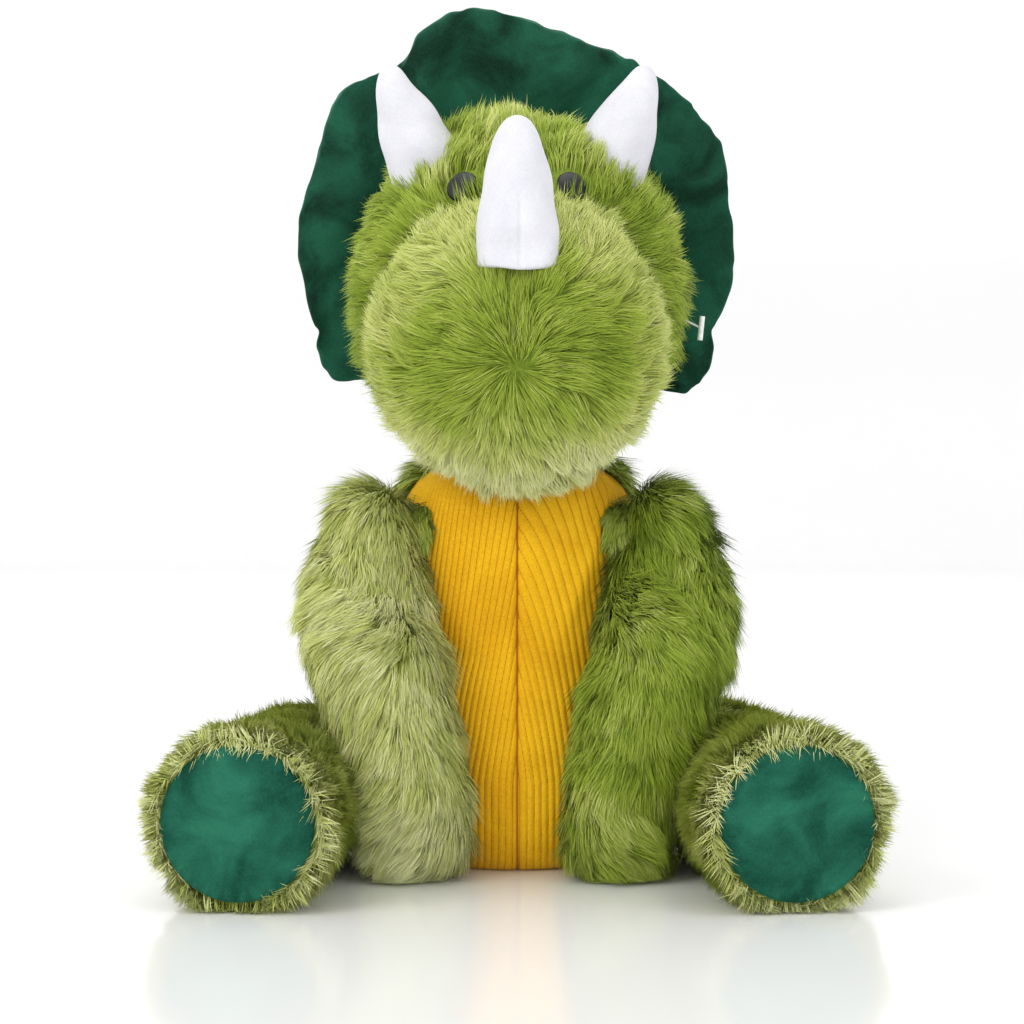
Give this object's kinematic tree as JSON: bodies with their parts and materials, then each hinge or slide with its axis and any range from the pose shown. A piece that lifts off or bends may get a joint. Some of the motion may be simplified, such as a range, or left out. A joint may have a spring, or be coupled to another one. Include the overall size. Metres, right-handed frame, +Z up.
{
  "type": "stuffed dinosaur",
  "caption": "Seated horned dinosaur soft toy with a padded frill, ribbed belly, nodding head, swinging arms and legs and a short tail.",
  "frame": {"origin": "centre of the flat seat, where the torso rests on the floor", "axes": "+Z up from the seat, the face and the soles look towards -Y, +X is the side on the right of a viewer who faces the toy"},
  "size_m": [0.225, 0.2232, 0.2857],
  "materials": {
    "plush": "long pile, soft",
    "ribbed_cloth": "fine vertical ribs",
    "velour": "short dense pile",
    "horn_cloth": "short napped pile",
    "eye_thread": "satin stitch",
    "filling": "loose fibre fill",
    "nylon": "translucent"
  },
  "bodies": {
    "torso": {"belly_panel_left": "ribbed_cloth", "belly_panel_right": "ribbed_cloth", "back_panel": "plush", "seat_panel": "plush", "torso_stuffing": "filling", "left_shoulder_seam": "plush", "right_shoulder_seam": "plush", "left_hip_seam": "plush", "right_hip_seam": "plush", "tail_seam": "plush"},
    "neck": {"neck_plug": "plush"},
    "head": {"head_fur": "plush", "muzzle_left": "plush", "muzzle_right": "plush", "chin": "plush", "head_stuffing": "filling", "muzzle_stuffing": "filling", "left_eye": "eye_thread", "right_eye": "eye_thread", "nose_horn": "horn_cloth", "nose_horn_stuffing": "filling", "left_brow_horn": "horn_cloth", "left_brow_horn_stuffing": "filling", "right_brow_horn": "horn_cloth", "right_brow_horn_stuffing": "filling", "frill_front": "velour", "frill_wadding": "filling", "frill_back": "velour", "tag_fastener": "nylon"},
    "left_arm": {"left_arm_fur": "plush", "left_arm_stuffing": "filling"},
    "right_arm": {"right_arm_fur": "plush", "right_arm_stuffing": "filling"},
    "left_leg": {"left_leg_fur": "plush", "left_leg_stuffing": "filling", "left_sole": "velour"},
    "right_leg": {"right_leg_fur": "plush", "right_leg_stuffing": "filling", "right_sole": "velour"},
    "tail": {"tail_fur": "plush", "tail_stuffing": "filling"}
  },
  "joints": [
    {"name": "neck_turn", "type": "hinge", "parent": "torso", "child": "neck", "pos_m": [0, 0, 0.133], "axis": [0, 0, 1], "range_deg": [-25, 25], "stiffness_Nm_per_rad": 0.2},
    {"name": "neck_nod", "type": "hinge", "parent": "neck", "child": "head", "pos_m": [0, 0, 0.133], "axis": [1, 0, 0], "range_deg": [-18, 3], "stiffness_Nm_per_rad": 0.5},
    {"name": "left_arm_swing", "type": "hinge", "parent": "torso", "child": "left_arm", "pos_m": [-0.04714, -0.02299, 0.112], "axis": [-1, 0, 0], "range_deg": [0, 75], "stiffness_Nm_per_rad": 0.02},
    {"name": "right_arm_swing", "type": "hinge", "parent": "torso", "child": "right_arm", "pos_m": [0.04714, -0.02299, 0.112], "axis": [-1, 0, 0], "range_deg": [0, 75], "stiffness_Nm_per_rad": 0.02},
    {"name": "left_leg_lift", "type": "hinge", "parent": "torso", "child": "left_leg", "pos_m": [-0.07039, -0.004, 0.0247], "axis": [-0.7071, 0, -0.7071], "range_deg": [0, 50], "stiffness_Nm_per_rad": 0.03},
    {"name": "right_leg_lift", "type": "hinge", "parent": "torso", "child": "right_leg", "pos_m": [0.07039, -0.004, 0.0247], "axis": [-0.7071, 0, 0.7071], "range_deg": [0, 50], "stiffness_Nm_per_rad": 0.03},
    {"name": "tail_wag", "type": "hinge", "parent": "torso", "child": "tail", "pos_m": [0, 0.0655, 0.023], "axis": [0, 0, 1], "range_deg": [-25, 25], "stiffness_Nm_per_rad": 0.05}
  ]
}
